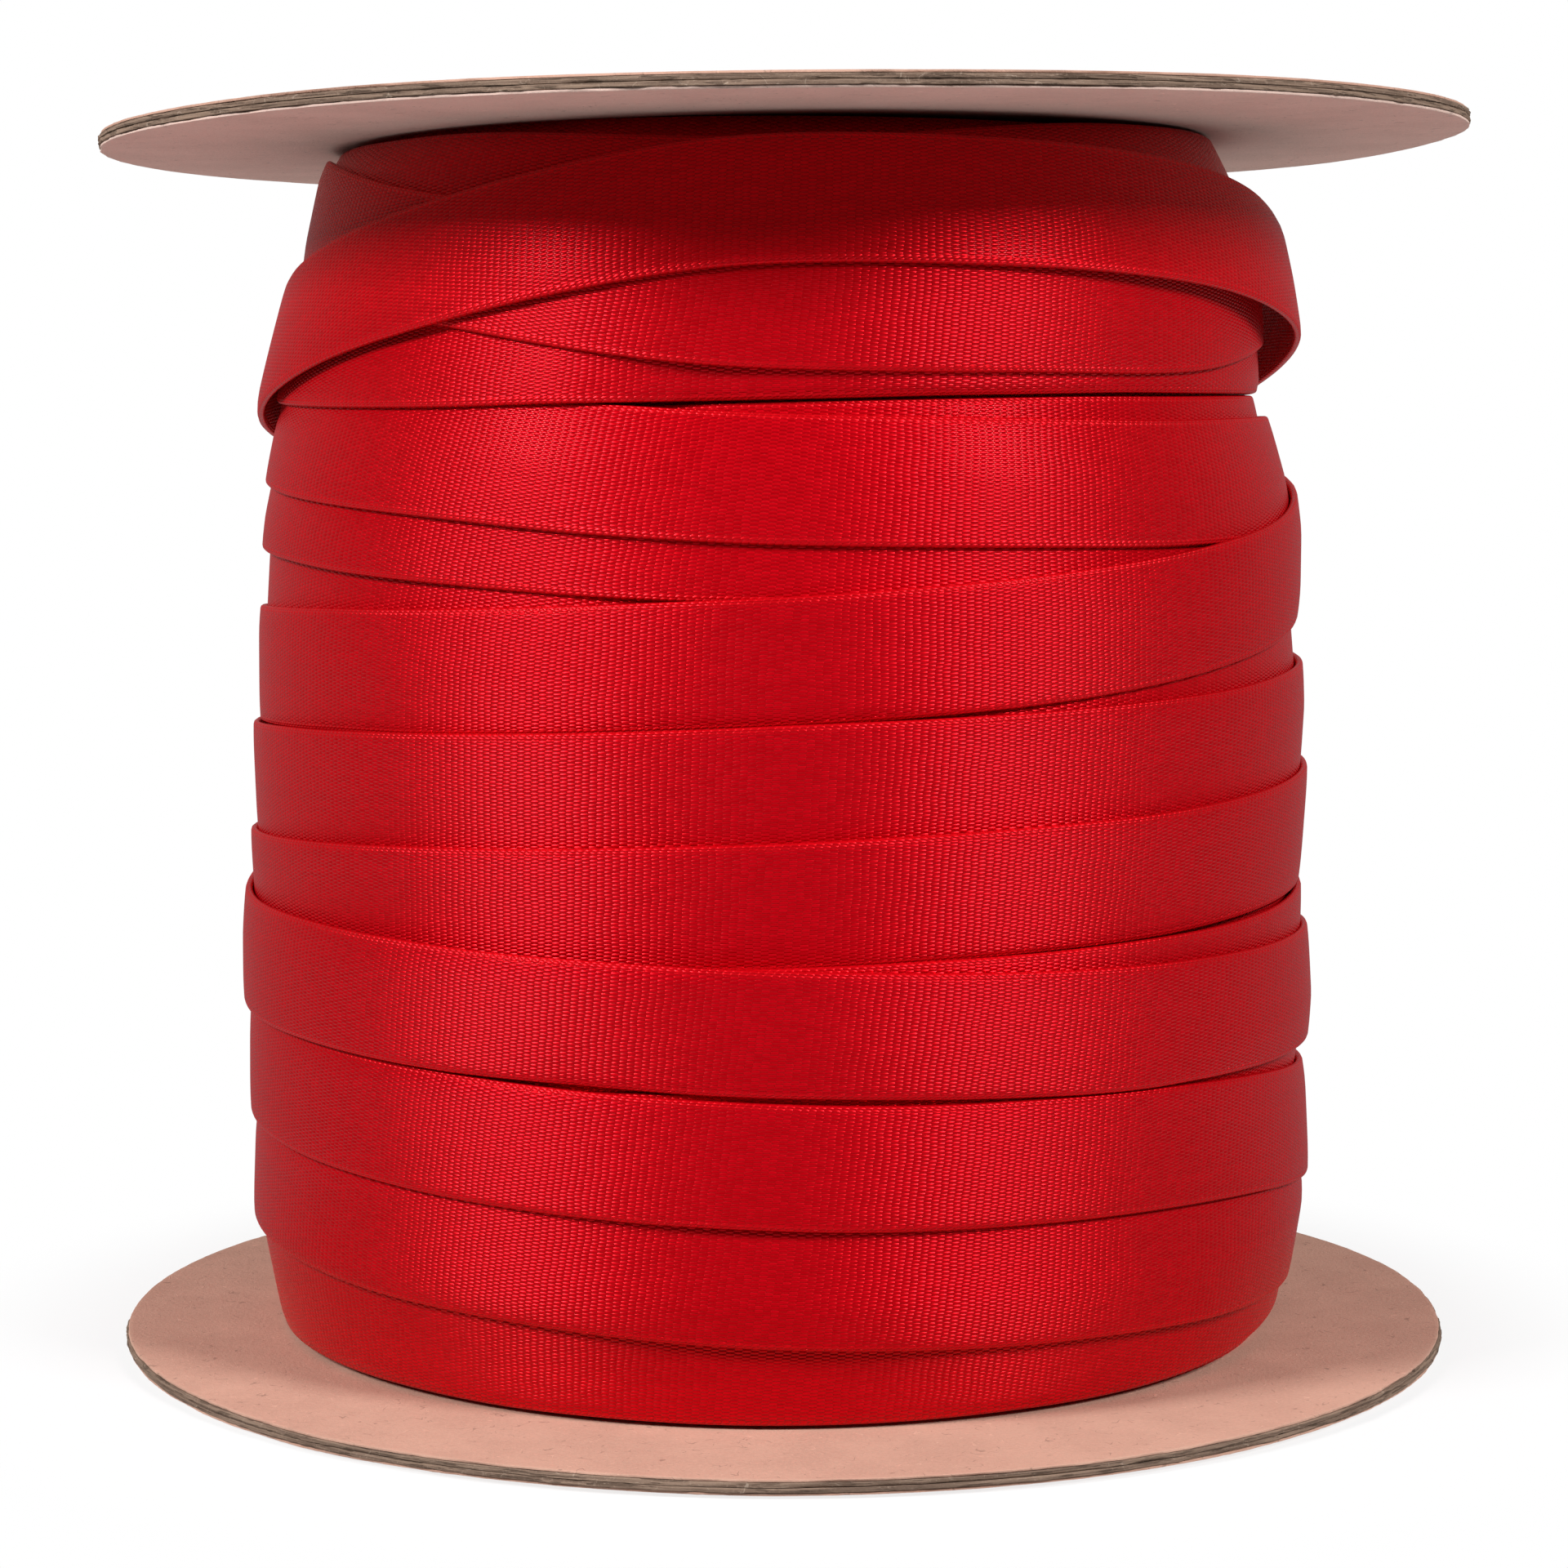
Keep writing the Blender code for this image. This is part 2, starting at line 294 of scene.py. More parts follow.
def weave_group():
    """Plain weave in metres along and across a tape, with looped edges.

    The threads that run along the tape hide the ones across it.  Each comes up over every other
    pick, and its neighbours come up over the picks between.
    """
    group, entry, leave = new_group(
        "plain weave",
        [("Along and across", "Vector", None), ("Half width", "Float", TAPE_HALF)],
        [("Height", "Float"), ("Thread", "Float"), ("Edge", "Float"), ("Lot", "Float")],
    )
    split = group.nodes.new("ShaderNodeSeparateXYZ")
    group.links.new(entry["Along and across"], split.inputs[0])
    along, across = split.outputs[0], split.outputs[1]
    unevenness = noise_value(group, scaled(group, entry["Along and across"], (180.0, 420.0, 1.0)), 1.0)
    drift = maths(group, "MULTIPLY_ADD", unevenness, 0.7, maths(group, "DIVIDE", across, 0.009))
    picks = maths(group, "ADD", maths(group, "DIVIDE", along, PICK_PITCH), drift)
    ends = maths(group, "MULTIPLY_ADD", unevenness, 0.5, maths(group, "DIVIDE", across, END_PITCH))
    pick = maths(group, "ROUND", picks)
    parity = maths(group, "FLOORED_MODULO", pick, 2.0)
    shifted = maths(group, "SUBTRACT", ends, parity)
    pair = maths(group, "ROUND", maths(group, "MULTIPLY", shifted, 0.5))
    off_end = maths(group, "SUBTRACT", shifted, maths(group, "MULTIPLY", pair, 2.0))
    body = dome(group, maths(group, "SUBTRACT", picks, pick), off_end, 1.9, 1.0)

    inset = maths(group, "SUBTRACT", entry["Half width"], maths(group, "ABSOLUTE", across))
    edge = stepped(group, inset, 2.3 * LOOP_ROW, 1.7 * LOOP_ROW)
    rows = maths(group, "DIVIDE", inset, LOOP_ROW)
    row = maths(group, "FLOOR", rows)
    loops = maths(group, "MULTIPLY_ADD", rows, 0.35, maths(group, "MULTIPLY_ADD", row, 0.5, picks))
    off_loop = maths(group, "SUBTRACT", loops, maths(group, "ROUND", loops))
    off_row = maths(group, "SUBTRACT", maths(group, "SUBTRACT", rows, row), 0.5)
    height = group.nodes.new("ShaderNodeMix")
    feed(group, height.inputs[0], edge)
    feed(group, height.inputs[2], body)
    feed(group, height.inputs[3], dome(group, off_loop, off_row, 3.4, 2.8))

    cell = group.nodes.new("ShaderNodeCombineXYZ")
    feed(group, cell.inputs[0], pick)
    feed(group, cell.inputs[1], pair)
    speckle = group.nodes.new("ShaderNodeTexWhiteNoise")
    speckle.noise_dimensions = "2D"
    group.links.new(cell.outputs[0], speckle.inputs["Vector"])

    group.links.new(height.outputs[0], leave["Height"])
    group.links.new(speckle.outputs["Value"], leave["Thread"])
    group.links.new(edge, leave["Edge"])
    streak = noise_value(group, scaled(group, entry["Along and across"], (9.0, 900.0, 1.0)), 1.0, 3.0)
    group.links.new(streak, leave["Lot"])
    return group


def fibre_group():
    """Pressed paper: cloudy tone, fine grain, and short curly fibres, dark and light."""
    group, entry, leave = new_group(
        "paper fibres",
        [("Place", "Vector", None)],
        [("Cloud", "Float"), ("Grain", "Float"), ("Dark fibre", "Float"), ("Light fibre", "Float")],
    )
    place = entry["Place"]
    group.links.new(noise_value(group, place, 90.0, 4.0, 0.6), leave["Cloud"])
    group.links.new(noise_value(group, place, 2600.0, 3.0, 0.7), leave["Grain"])
    for label, scale, shift in (("Dark fibre", 420.0, 3.1), ("Light fibre", 520.0, 7.7)):
        moved = group.nodes.new("ShaderNodeMapping")
        group.links.new(place, moved.inputs["Vector"])
        moved.inputs["Location"].default_value = (shift, shift, shift)
        line = noise_value(group, moved.outputs[0], scale, 1.0, 0.4, 0.6)
        ridge = maths(group, "ABSOLUTE", maths(group, "SUBTRACT", line, 0.5))
        thin = stepped(group, ridge, 0.014, 0.004)
        patch = noise_value(group, moved.outputs[0], scale * 1.7, 0.0)
        group.links.new(maths(group, "MULTIPLY", thin, stepped(group, patch, 0.58, 0.66)), leave[label])
    return group


def strata_group():
    """The cut edge of board: thin layers, torn fibres, and gaps between the layers that are painted dark as
    shade.
    """
    group, entry, leave = new_group(
        "board layers",
        [("Place", "Vector", None)],
        [("Layer", "Float"), ("Gap", "Float"), ("Fluff", "Float")],
    )
    place = entry["Place"]
    layers = noise_value(group, scaled(group, place, (90.0, 90.0, 5200.0)), 1.0, 4.0, 0.65)
    tears = noise_value(group, scaled(group, place, (260.0, 260.0, 3600.0)), 1.0, 2.0, 0.6)
    group.links.new(layers, leave["Layer"])
    group.links.new(stepped(group, tears, 0.44, 0.36), leave["Gap"])
    group.links.new(noise_value(group, place, 3200.0, 3.0, 0.8), leave["Fluff"])
    return group


WEAVE = weave_group()
FIBRES = fibre_group()
STRATA = strata_group()


# ---------------------------------------------------------------- materials

def tape_finish():
    """Glossy polyester thread, which throws back mostly its own red."""
    material, tree, shader = new_material("red woven tape", 0.28, 0.85)
    uv = tree.nodes.new("ShaderNodeUVMap")
    uv.uv_map = "weave"
    weave = group_node(tree, WEAVE, Along_and_across=uv.outputs[0])
    depth = stepped(tree, weave["Height"], 0.0, 0.45)
    thread = blended(tree, weave["Thread"], (0.60, 0.0003, 0.0055), (0.70, 0.0005, 0.0075))
    # Between the threads, where the weave is low, the colour is painted darker: painted shade where the
    # threads shade each other.
    colour = blended(tree, depth, (0.36, 0.0002, 0.0022), thread)
    lot = stepped(tree, weave["Lot"], 0.35, 0.65, 0.0, 0.18)
    colour = blended(tree, lot, colour, (0.46, 0.0005, 0.0045))
    # The tops of the loops along the tape's edges are painted lighter: a painted highlight.
    loop_top_highlight = maths(tree, "MULTIPLY", maths(tree, "MULTIPLY", weave["Edge"], depth), 0.35)
    colour = blended(tree, loop_top_highlight, colour, (0.80, 0.0060, 0.0110))
    feed(tree, shader.inputs["Base Color"], colour)
    feed(tree, shader.inputs["Metallic"], maths(tree, "MULTIPLY", depth, 0.42))
    feed(tree, shader.inputs["Roughness"], maths(tree, "MULTIPLY_ADD", weave["Thread"], 0.06, 0.26))
    feed(tree, shader.inputs["Normal"], bumped(tree, weave["Height"], 0.00008))
    shader.inputs["Specular Tint"].default_value = (1.0, 0.09, 0.11, 1.0)
    return material


def kraft_finish(name, pale, deep):
    """Paper facing, with tone and fibres, a little scuffed."""
    material, tree, shader = new_material(name, 0.86, 0.25)
    place = own_place(tree)
    fibres = group_node(tree, FIBRES, Place=place)
    colour = blended(tree, stepped(tree, fibres["Cloud"], 0.36, 0.64), deep, pale)
    grain = stepped(tree, fibres["Grain"], 0.30, 0.70)
    paler = tuple(1.28 * part for part in pale)
    dark_fibre = tuple(0.45 * part for part in deep)
    light_fibre = tuple(1.45 * part for part in pale)
    colour = blended(tree, maths(tree, "MULTIPLY", grain, 0.28), colour, paler)
    colour = blended(tree, maths(tree, "MULTIPLY", fibres["Dark fibre"], 0.55), colour, dark_fibre)
    colour = blended(tree, maths(tree, "MULTIPLY", fibres["Light fibre"], 0.40), colour, light_fibre)
    feed(tree, shader.inputs["Base Color"], colour)
    relief = maths(tree, "ADD", grain, maths(tree, "MULTIPLY", fibres["Light fibre"], 0.8))
    feed(tree, shader.inputs["Normal"], bumped(tree, relief, 0.00003))
    return material


def board_finish():
    """Greyboard, seen at its cut edge."""
    material, tree, shader = new_material("greyboard", 0.95, 0.15)
    place = own_place(tree)
    strata = group_node(tree, STRATA, Place=place)
    fibres = group_node(tree, FIBRES, Place=place)
    layer = stepped(tree, strata["Layer"], 0.35, 0.65)
    colour = blended(tree, layer, (0.150, 0.098, 0.072), (0.30, 0.205, 0.150))
    # The gaps between the layers are painted nearly black: painted shade in the gaps.
    colour = blended(tree, maths(tree, "MULTIPLY", strata["Gap"], 0.55), colour, (0.060, 0.038, 0.026))
    colour = blended(tree, stepped(tree, strata["Fluff"], 0.52, 0.78, 0.0, 0.6), colour, (0.42, 0.31, 0.24))
    colour = blended(tree, maths(tree, "MULTIPLY", fibres["Light fibre"], 0.5), colour, (0.50, 0.39, 0.31))
    feed(tree, shader.inputs["Base Color"], colour)
    relief = maths(tree, "SUBTRACT", maths(tree, "ADD", strata["Layer"], strata["Fluff"]), strata["Gap"])
    feed(tree, shader.inputs["Normal"], bumped(tree, relief, 0.00010))
    return material


def glue_finish():
    material, tree, shader = new_material("amber glue", 0.30)
    cloud = noise_value(tree, own_place(tree), 260.0, 3.0)
    feed(tree, shader.inputs["Base Color"], blended(tree, cloud, (0.55, 0.38, 0.16), (0.72, 0.56, 0.30)))
    feed(tree, shader.inputs["Normal"], bumped(tree, cloud, 0.0002))
    return material


def floor_finish():
    """Pale paper that fades into the backdrop away from the reel."""
    material, tree, shader = new_material("pale floor", 0.75, 0.2)
    place = own_place(tree)
    cloud = noise_value(tree, place, 3.0, 2.0)
    feed(tree, shader.inputs["Base Color"], blended(tree, cloud, (0.84, 0.84, 0.84), (0.87, 0.87, 0.87)))
    reach = tree.nodes.new("ShaderNodeVectorMath")
    reach.operation = "LENGTH"
    feed(tree, reach.inputs[0], place)
    feed(tree, shader.inputs["Alpha"], stepped(tree, reach.outputs["Value"], 0.105, 0.060, 0.0, 0.3))
    return material


# ---------------------------------------------------------------- modelling helpers

def start_editing():
    bpy.ops.object.mode_set(mode="EDIT")
    bpy.ops.mesh.select_all(action="SELECT")


def stop_editing():
    bpy.ops.object.mode_set(mode="OBJECT")


def fresh():
    """Nothing selected, so that an operator acts only on what it is meant for."""
    if bpy.context.object and bpy.context.object.mode != "OBJECT":
        stop_editing()
    bpy.ops.object.select_all(action="DESELECT")


def apply_all(obj):
    bpy.context.view_layer.objects.active = obj
    for modifier in list(obj.modifiers):
        bpy.ops.object.modifier_apply(modifier=modifier.name)


def flat_ring(name, inner, outer, steps, segments):
    """A flat ring: a circle drawn out to its outer edge through the given shares of its width."""
    fresh()
    bpy.ops.mesh.primitive_circle_add(vertices=segments, radius=inner, fill_type="NOTHING")
    ring = bpy.context.object
    ring.name = name
    start_editing()
    before = inner
    for share in steps:
        radius = inner + share * (outer - inner)
        bpy.ops.mesh.extrude_edges_move()
        bpy.ops.transform.resize(value=(radius / before, radius / before, 1.0))
        before = radius
    stop_editing()
    return ring


def thicken(obj, thickness):
    """Gives a flat piece its thickness, upwards from where it lies."""
    start_editing()
    bpy.ops.mesh.normals_make_consistent(inside=False)
    stop_editing()
    if obj.data.polygons[0].normal.z < 0:
        start_editing()
        bpy.ops.mesh.flip_normals()
        stop_editing()
    wall = obj.modifiers.new("thickness", "SOLIDIFY")
    wall.thickness = thickness
    wall.offset = 1.0
    apply_all(obj)


def finish_piece(obj, material, slot, *nodes):
    """Shades a piece, gives it its finish, and ties it to the frame."""
    bpy.context.view_layer.objects.active = obj
    obj.data.materials.clear()
    obj.data.materials.append(material)
    fresh()
    obj.select_set(True)
    bpy.context.view_layer.objects.active = obj
    bpy.ops.object.shade_smooth_by_angle(angle=math.radians(40))
    obj.select_set(False)
    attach(obj, "root")
    if nodes:
        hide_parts(*nodes)
    return obj


# ---------------------------------------------------------------- flanges

def rim_noise(angle, seed, size):
    """A rough edge: broad waviness, with tears and fuzz on top."""
    x, y = math.cos(angle), math.sin(angle)
    broad = noise.noise(Vector((2.5 * x, 2.5 * y, seed)))
    middle = noise.noise(Vector((22 * x, 22 * y, seed + 5)))
    fuzz = noise.noise(Vector((120 * x, 120 * y, seed + 9)))
    tear = max(0.0, noise.noise(Vector((9 * x, 9 * y, seed + 13))) - 0.25)
    return size * (0.55 * broad + 0.35 * middle + 0.30 * fuzz - 1.2 * tear)


def bend_of_board(x, y, upper):
    """How far a flange's board stands off its flat plane, with its tilt."""
    distance = math.hypot(x, y) / FLANGE_RADIUS
    if upper:
        wave = 0.00045 * noise.noise(Vector((20 * x, 20 * y, 4.0))) * distance ** 3
        return x * math.tan(UPPER_TILT) + wave
    wave = 0.00035 * abs(noise.noise(Vector((20 * x, 20 * y, 8.0)))) * distance ** 3
    return (x + FLANGE_RADIUS) * math.tan(LOWER_TILT) + wave


def make_layer(side, layer, material, slot, rough, seed):
    """One pasted layer of a flange, with a worn rim."""
    node = f"{side}_{layer}"
    low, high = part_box(node)
    inner, outer = radii(node)
    obj = flat_ring(f"{side}_{layer}_disc", inner, outer, (0.06, 0.35, 0.65, 0.9, 0.975, 0.992, 1.0), 720)
    thicken(obj, high.z - low.z)
    thickness = high.z - low.z
    for vertex in obj.data.vertices:
        x, y, z = vertex.co
        radius = math.hypot(x, y)
        angle = math.atan2(y, x)
        near_rim = max(0.0, (radius / outer - 0.965) / 0.035)
        near_hole = max(0.0, 1.0 - (radius - inner) / 0.002)
        level = z / thickness
        worn = near_rim ** 3 * rim_noise(angle, seed + 3.0 * level, rough)
        worn -= near_hole * rim_noise(angle, seed + 31.0, 0.4 * rough)
        new = radius + worn
        lift = low.z + z + bend_of_board(x, y, side == "upper")
        vertex.co = (new * math.cos(angle), new * math.sin(angle), lift)
    bevel = obj.modifiers.new("worn corners", "BEVEL")
    bevel.width = 0.2 * thickness
    bevel.segments = 2
    bevel.limit_method = "ANGLE"
    bevel.angle_limit = math.radians(60)
    apply_all(obj)
    return finish_piece(obj, material, slot, node)


def make_flanges():
    kraft = kraft_finish("kraft facing", (0.54, 0.320, 0.240), (0.49, 0.286, 0.214))
    # A lighter copy of the kraft, for the underside of the upper flange: painted light, standing in for the
    # bounce from the table below.
    kraft_painted_lighter = kraft_finish("kraft facing painted lighter", (0.68, 0.49, 0.42), (0.62, 0.445, 0.38))
    board = board_finish()
    for side, seed in (("lower", 1.0), ("upper", 60.0)):
        for index, layer in enumerate(("outer_facing", "outer_ply", "inner_ply", "inner_facing")):
            if layer.endswith("facing"):
                # Painted light: the upper flange's underside takes the lighter copy of the kraft.
                paper = kraft_painted_lighter if (side, layer) == ("upper", "inner_facing") else kraft
                make_layer(side, layer, paper, "kraft_facing", PAPER_WEAR, seed + 7 * index)
            else:
                make_layer(side, layer, board, "greyboard", BOARD_WEAR, seed + 7 * index)


# ---------------------------------------------------------------- core and glue

def make_core():
    """Three spiral-wound plies.  Each ply's seam is a shallow helical groove."""
    paper = kraft_finish("core paper", (0.50, 0.36, 0.25), (0.38, 0.26, 0.17))
    for number, ply in enumerate(("core_liner", "core_tube", "core_wrap")):
        low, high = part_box(ply)
        inner, outer = radii(ply)
        fresh()
        bpy.ops.mesh.primitive_grid_add(x_subdivisions=144, y_subdivisions=90, size=1.0)
        tube = bpy.context.object
        tube.name = f"{ply}_ply"
        pitch = 0.045 + 0.004 * number
        for vertex in tube.data.vertices:
            turn = vertex.co.x + 0.5
            height = low.z + (vertex.co.y + 0.5) * (high.z - low.z)
            phase = (turn + height / pitch + 0.3 * number) % 1.0
            seam = math.exp(-((min(phase, 1.0 - phase) * 2 * math.pi * inner / SEAM_WIDTH) ** 2))
            radius = inner + SEAM_DEPTH * seam
            angle = 2 * math.pi * turn
            vertex.co = (radius * math.cos(angle), radius * math.sin(angle), height)
        start_editing()
        bpy.ops.mesh.remove_doubles(threshold=1e-6)
        bpy.ops.mesh.normals_make_consistent(inside=False)
        stop_editing()
        wall = tube.modifiers.new("wall", "SOLIDIFY")
        wall.thickness = outer - inner
        wall.offset = 1.0
        apply_all(tube)
        finish_piece(tube, paper, "core_paper", ply)


def make_glue():
    glue = glue_finish()
    for side, up in (("lower", 1), ("upper", -1)):
        low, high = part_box(f"{side}_glue_bead")
        inner, outer = radii(f"{side}_glue_bead")
        leg = outer - inner
        foot = low.z if side == "lower" else high.z
        fresh()
        bpy.ops.mesh.primitive_torus_add(
            major_segments=180,
            minor_segments=14,
            major_radius=outer - 0.42 * leg,
            minor_radius=0.38 * leg,
            location=(0.0, 0.0, foot + up * 0.42 * leg),
        )
        bead = bpy.context.object
        bead.name = f"{side}_bead_of_glue"
        bpy.ops.object.transform_apply(location=True, rotation=False, scale=False)
        for vertex in bead.data.vertices:
            x, y, z = vertex.co
            angle = math.atan2(y, x)
            blob = 1.0 + 0.16 * noise.noise(Vector((6 * math.cos(angle), 6 * math.sin(angle), up)))
            middle = Vector((math.cos(angle), math.sin(angle), 0.0)) * (outer - 0.42 * leg)
            middle.z = foot + up * 0.42 * leg
            vertex.co = middle + (vertex.co - middle) * blob
        finish_piece(bead, glue, "hot_melt_glue", f"{side}_glue_bead")


# ---------------------------------------------------------------- winding

def smooth_through(places, knots):
    """Values at every station of a curve through knots at the given stations, with no overshoot."""
    places, knots = np.array(places), np.array(knots)
    widths = np.diff(places)
    rises = np.diff(knots) / widths
    product = rises[:-1] * rises[1:]
    total = np.where(product > 0, rises[:-1] + rises[1:], 1.0)
    slopes = np.where(product > 0, 2 * product / total, 0.0)
    slopes = np.concatenate([rises[:1], slopes, rises[-1:]])
    stations = np.arange(round(places[-1]) + 1)
    at = np.clip(np.searchsorted(places, stations, side="right") - 1, 0, len(widths) - 1)
    t = (stations - places[at]) / widths[at]
    return (
        (1 + 2 * t) * (1 - t) ** 2 * knots[at]
        + t * (1 - t) ** 2 * widths[at] * slopes[at]
        + t * t * (3 - 2 * t) * knots[at + 1]
        + t * t * (t - 1) * widths[at] * slopes[at + 1]
    )


def path_through(turns, end):
    """The path of a length of tape, in percent at every station."""
    places = [STATIONS * (turn + share) for turn in range(len(turns)) for share in KNOT_SHARES]
    knots = [place for turn in turns for place in turn]
    return smooth_through(places + [STATIONS * len(turns)], knots + [end])


def slack_of_last_turn():
    places = np.linspace(0, STATIONS, len(LAST_TURN_SLACK))
    return smooth_through(places, LAST_TURN_SLACK)


def softened(values, reach):
    """A running mean that leaves the ends where they are."""
    padded = np.pad(values, [(reach, reach)] + [(0, 0)] * (values.ndim - 1), mode="edge")
    width = 2 * reach + 1
    return sum(padded[shift : shift + len(values)] for shift in range(width)) / width


def wander(count, size, random):
    """A gentle irregularity along the tape."""
    stations = np.arange(count)
    total = np.zeros(count)
    for period in (11.0, 17.0, 29.0, 53.0):
        total += np.sin(2 * math.pi * (stations / period + random.random())) * random.uniform(0.5, 1.0)
    return size * total / 2


def tape_heights(turns, end, random):
    """The height of the tape's middle at every station.  Near the upper flange it leans with it."""
    percent = path_through(turns, end)
    low = WINDING_LOW + TAPE_HALF
    high = WINDING_HIGH - TAPE_HALF
    heights = low + percent / 100 * (high - low) + wander(len(percent), WANDER, random)
    lean = TOP_RADIUS * np.cos(azimuth(np.arange(len(percent)))) * math.tan(UPPER_TILT)
    leant = softened(heights + lean * np.clip((percent - 90) / 10, 0, 1), 4)
    return np.clip(leant, low, high + lean)


def azimuth(station):
    """The tape starts at the back and runs to the right, the front and the left."""
    return math.pi / 2 - 2 * math.pi * station / STATIONS


def winding_radius(height):
    shares, outsides = zip(*INNER_WINDING)
    share = (height - WINDING_LOW) / (WINDING_HIGH - WINDING_LOW)
    return np.interp(share, shares, outsides)


def bare_surface():
    middles = (np.arange(int(REEL_HEIGHT / BIN) + 1) + 0.5) * BIN
    push = -WINDING_OFFSET * np.cos(azimuth(np.arange(STATIONS)))
    return middles, winding_radius(middles)[None, :] + push[:, None] + TAPE_GAP


def hull_weights():
    """For every sample, how it lies between every pair of samples, one on each side of it."""
    left, right, at = np.meshgrid(SHARES, SHARES, SHARES, indexing="ij")
    inside = (left <= at) & (at <= right) & (left < right)
    share = np.where(inside, (at - left) / np.where(right > left, right - left, 1.0), 0.0)
    return share, inside


HULL_SHARE, HULL_INSIDE = hull_weights()


def draped(under):
    """A cross-section of tape lying on what is under it: nearly flat, bent a little over edges."""
    leaning = LEANS[:, None] * SHARES[None, :] * TAPE_HALF
    radii_at_middle = (under[None, :] - leaning).max(axis=1)
    best = int(np.argmin(radii_at_middle))
    line = radii_at_middle[best] + leaning[best]
    spans = under[:, None, None] * (1 - HULL_SHARE) + under[None, :, None] * HULL_SHARE
    hull = np.where(HULL_INSIDE, spans, 0.0).max(axis=(0, 1))
    return FLATNESS * line + (1 - FLATNESS) * np.maximum(hull, under)


def lay_tape(heights, halves, slacks, middles, surface):
    """Lays a tape on what is there.  Returns the radius of its inner face at SHARES, by station."""
    raw = np.zeros((len(heights), len(SHARES)))
    laid = np.zeros_like(raw)

    def settle(index):
        first, last = max(0, index - REACH), min(len(heights), index + REACH + 1)
        laid[index] = raw[first:last].mean(axis=0)
        covered = np.abs(middles - heights[index]) < halves[index]
        places = heights[index] + SHARES * halves[index]
        top = np.interp(middles[covered], places, laid[index]) + TAPE_THICKNESS + TAPE_GAP
        column = surface[index % STATIONS]
        column[covered] = np.maximum(column[covered], top)

    for index, height in enumerate(heights):
        near = surface[(index + np.arange(-REACH, REACH + 1)) % STATIONS].max(axis=0)
        under = np.interp(height + SHARES * halves[index], middles, near)
        raw[index] = draped(under) + slacks[index] * (1 - LOWER_EDGE_SLACK * SHARES)
        if index > REACH:
            settle(index - REACH - 1)
    for index in range(max(0, len(heights) - REACH - 1), len(heights)):
        settle(index)
    return laid


def make_tape(name, heights, halves, laid, slopes):
    """A closed strip with rounded edges, and the weave's own coordinates in metres."""
    count = len(heights)
    radius = TAPE_THICKNESS / 2
    turns = np.linspace(0.0, math.pi, EDGE_STEPS + 2)[1:-1]
    columns = [(share, 1.0, 0.0) for share in np.linspace(-1, 1, FACE_COLUMNS)]
    columns += [(1.0, math.cos(turn), math.sin(turn)) for turn in turns]
    columns += [(share, -1.0, 0.0) for share in np.linspace(1, -1, BACK_COLUMNS)]
    columns += [(-1.0, math.cos(turn), -math.sin(turn)) for turn in turns[::-1]]
    share, out, side = (np.array(part)[None, :] for part in zip(*columns))

    flat_half = (halves - radius)[:, None]
    offset = share * flat_half
    middle = np.empty((count, share.shape[1]))
    lean = np.empty_like(middle)
    rise = np.gradient(laid, axis=1) / (np.gradient(SHARES)[None, :] * halves[:, None])
    for index in range(count):
        middle[index] = np.interp(offset[index], SHARES * halves[index], laid[index])
        lean[index] = np.interp(offset[index], SHARES * halves[index], rise[index])
    length = np.sqrt(1 + lean * lean)
    thick = radius + CROWN * (1 - share ** 4) * (out > 0.9)
    distance = middle + radius + (thick * out + radius * side * lean) / length
    height = heights[:, None] + offset + (radius * side - thick * out * lean) / length
    angle = azimuth(np.arange(count))[:, None]
    points = np.stack([distance * np.cos(angle), distance * np.sin(angle), height], axis=2)

    steps = np.linalg.norm(np.diff(points[:, FACE_COLUMNS // 2], axis=0), axis=1)
    run = np.concatenate([[0.0], np.cumsum(steps)])
    across = (offset + radius * side) * np.cos(slopes)[:, None]
    along = run[:, None] + across * np.tan(slopes)[:, None]

    width = share.shape[1]
    first = np.arange(count - 1)[:, None] * width + np.arange(width)[None, :]
    following = np.arange(count - 1)[:, None] * width + (np.arange(width)[None, :] + 1) % width
    quads = np.stack([first, first + width, following + width, following], axis=2).reshape(-1, 4)
    start_cap = list(range(width))
    end_cap = list(range(count * width - 1, (count - 1) * width - 1, -1))
    faces = quads.tolist() + [start_cap, end_cap]
    mesh = bpy.data.meshes.new(name)
    mesh.from_pydata(points.reshape(-1, 3).tolist(), [], faces)
    layer = mesh.uv_layers.new(name="weave")
    corner = np.empty(len(mesh.loops), np.int32)
    mesh.loops.foreach_get("vertex_index", corner)
    places = np.stack([along.ravel(), across.ravel()], axis=1)
    layer.data.foreach_set("uv", places[corner].astype(np.float32).ravel())
    mesh.update()
    obj = bpy.data.objects.new(name, mesh)
    bpy.context.scene.collection.objects.link(obj)
    fresh()
    bpy.context.view_layer.objects.active = obj
    obj.select_set(True)
    start_editing()
    bpy.ops.mesh.normals_make_consistent(inside=False)
    stop_editing()
    return obj, float(run[-1])


def slope_of_path(heights):
    """The slope of the tape's path at every station, as an angle."""
    step = MEAN_RADIUS * 2 * math.pi / STATIONS
    return softened(np.arctan(np.gradient(heights) / step), 3)


def wind(name, turns, end, slacks, seed, middles, surface, material, nodes):
    """Lays one length of tape over what is there."""
    random = np.random.default_rng(seed)
    heights = tape_heights(turns, end, random)
    slopes = slope_of_path(heights)
    halves = TAPE_HALF / np.cos(slopes)
    slack = np.zeros(len(heights))
    slack[len(heights) - len(slacks):] = slacks
    laid = lay_tape(heights, halves, slack, middles, surface)
    tape, length = make_tape(name, heights, halves, laid, slopes)
    finish_piece(tape, material, "woven_tape", *nodes)


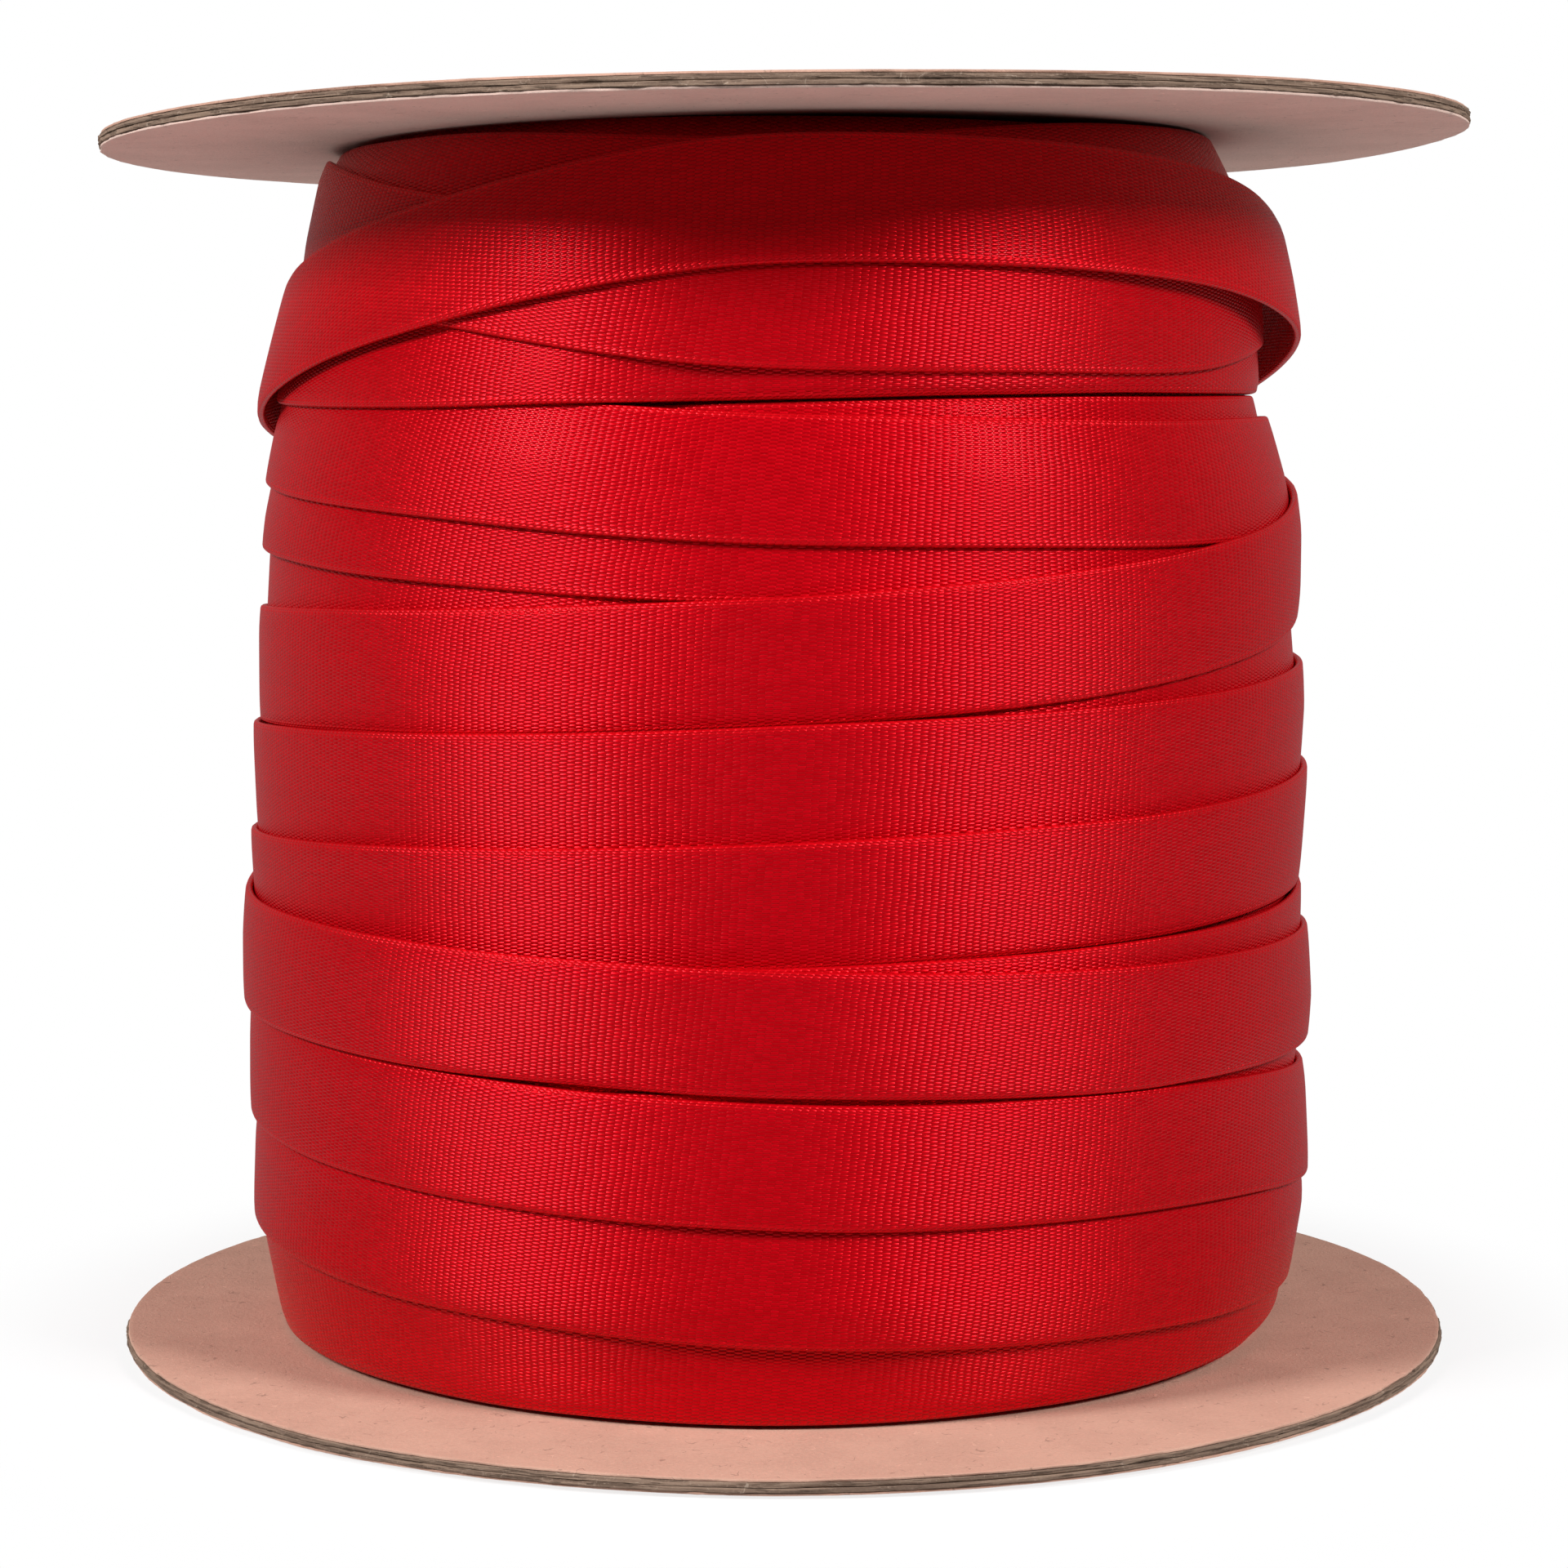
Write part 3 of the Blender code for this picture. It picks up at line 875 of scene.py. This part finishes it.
def make_winding():
    """The wound body, and the turns that show, laid one over the other."""
    material = tape_finish()
    middles, surface = bare_surface()
    span = WINDING_HIGH - WINDING_LOW
    inside = radii("core_wrap")[1] + TAPE_GAP
    rows = BODY_ROWS + 3
    fresh()
    bpy.ops.mesh.primitive_grid_add(x_subdivisions=STATIONS, y_subdivisions=rows, size=1.0)
    body = bpy.context.object
    body.name = "wound_tape_beneath"
    bpy.ops.mesh.uv_texture_remove()
    layer = body.data.uv_layers.new(name="weave")
    for vertex in body.data.vertices:
        turn = 2 * math.pi * (vertex.co.x + 0.5)
        row = round((vertex.co.y + 0.5) * rows)
        height = WINDING_LOW + min(row, BODY_ROWS) / BODY_ROWS * span
        ridge = (height / RIDGE_PITCH + turn / (2 * math.pi)) % 1.0
        radius = float(winding_radius(height)) - RIDGE_DEPTH * ridge - WINDING_OFFSET * math.cos(turn)
        if row > BODY_ROWS:
            height = WINDING_HIGH if row == BODY_ROWS + 1 else WINDING_LOW
            radius = inside
        if row == rows:
            radius = float(winding_radius(height)) - RIDGE_DEPTH * (turn / (2 * math.pi) % 1.0)
            radius -= WINDING_OFFSET * math.cos(turn)
        vertex.co = (radius * math.cos(turn), radius * math.sin(turn), height)
    for loop in body.data.loops:
        x, y, z = body.data.vertices[loop.vertex_index].co
        layer.data[loop.index].uv = (math.atan2(y, x) * WEAVE_RADIUS, (z % TAPE_WIDTH) - TAPE_HALF)
    start_editing()
    bpy.ops.mesh.remove_doubles(threshold=1e-6)
    bpy.ops.mesh.normals_make_consistent(inside=False)
    stop_editing()
    finish_piece(body, material, "woven_tape", "inner_winding")

    older_nodes = [f"tape_turn_{number:02d}" for number in range(1, len(OLDER_TURNS) + 1)]
    newer_nodes = [
        f"tape_turn_{number:02d}"
        for number in range(len(OLDER_TURNS) + 1, len(OLDER_TURNS) + len(OUTER_TURNS))
    ]
    wind(
        "older_length_of_tape", OLDER_TURNS, OLDER_END, np.zeros(1), 3,
        middles, surface, material, older_nodes,
    )
    wind(
        "outer_length_of_tape", OUTER_TURNS, OUTER_END, slack_of_last_turn(), 5,
        middles, surface, material, newer_nodes + ["tape_last_turn"],
    )


# ---------------------------------------------------------------- studio

def make_floor():
    fresh()
    bpy.ops.mesh.primitive_circle_add(vertices=96, radius=1.0, fill_type="NGON", location=(0, 0, -0.0002))
    floor = bpy.context.object
    floor.name = "floor"
    floor.data.materials.append(floor_finish())


def softbox(name, azimuth_degrees, elevation_degrees, distance, width, height, power):
    """A rectangular light that faces the reel.  Azimuth is from the front, positive to the right."""
    target = Vector((0.0, 0.0, 0.55 * REEL_HEIGHT))
    turn, rise = math.radians(azimuth_degrees), math.radians(elevation_degrees)
    way = Vector((math.sin(turn) * math.cos(rise), -math.cos(turn) * math.cos(rise), math.sin(rise)))
    lamp = bpy.data.lights.new(name, "AREA")
    lamp.shape = "RECTANGLE"
    lamp.size = width
    lamp.size_y = height
    lamp.energy = power
    obj = bpy.data.objects.new(name, lamp)
    obj.location = target + distance * way
    obj.rotation_euler = (-way).to_track_quat("-Z", "Y").to_euler()
    bpy.context.scene.collection.objects.link(obj)


def make_studio():
    world = bpy.data.worlds.new("studio")
    world.use_nodes = True
    tree = world.node_tree
    background = tree.nodes["Background"]
    paths = tree.nodes.new("ShaderNodeLightPath")
    way = tree.nodes.new("ShaderNodeSeparateXYZ")
    feed(tree, way.inputs[0], tree.nodes.new("ShaderNodeTexCoord").outputs["Generated"])
    behind = stepped(tree, way.outputs[1], 0.0, 0.9, FRONT_GLOW, BACKDROP_GLOW)
    table = stepped(tree, way.outputs[2], -0.15, -0.75, 0.0, TABLE_GLOW)
    glow = maths(tree, "MAXIMUM", behind, table)
    seen = maths(tree, "MAXIMUM", glow, paths.outputs["Is Camera Ray"])
    background.inputs["Color"].default_value = (1.0, 1.0, 1.0, 1.0)
    feed(tree, background.inputs["Strength"], seen)
    bpy.context.scene.world = world
    bpy.context.scene.view_settings.view_transform = "Standard"
    softbox("left softbox", -57, 32, 1.1, 0.26, 0.30, 12.8)
    softbox("right softbox", 52, 32, 1.1, 0.26, 0.30, 11.2)


def make_camera():
    camera = bpy.data.cameras.new("camera")
    camera.lens = 86.0
    camera.sensor_width = 36.0
    camera.shift_y = 0.104
    obj = bpy.data.objects.new("camera", camera)
    obj.location = (0.0, -0.4313, 0.1028)
    obj.rotation_euler = (math.radians(90 - 7.77), 0.0, 0.0)
    bpy.context.scene.collection.objects.link(obj)
    bpy.context.scene.camera = obj


make_flanges()
make_core()
make_glue()
make_winding()
make_floor()
make_studio()
make_camera()
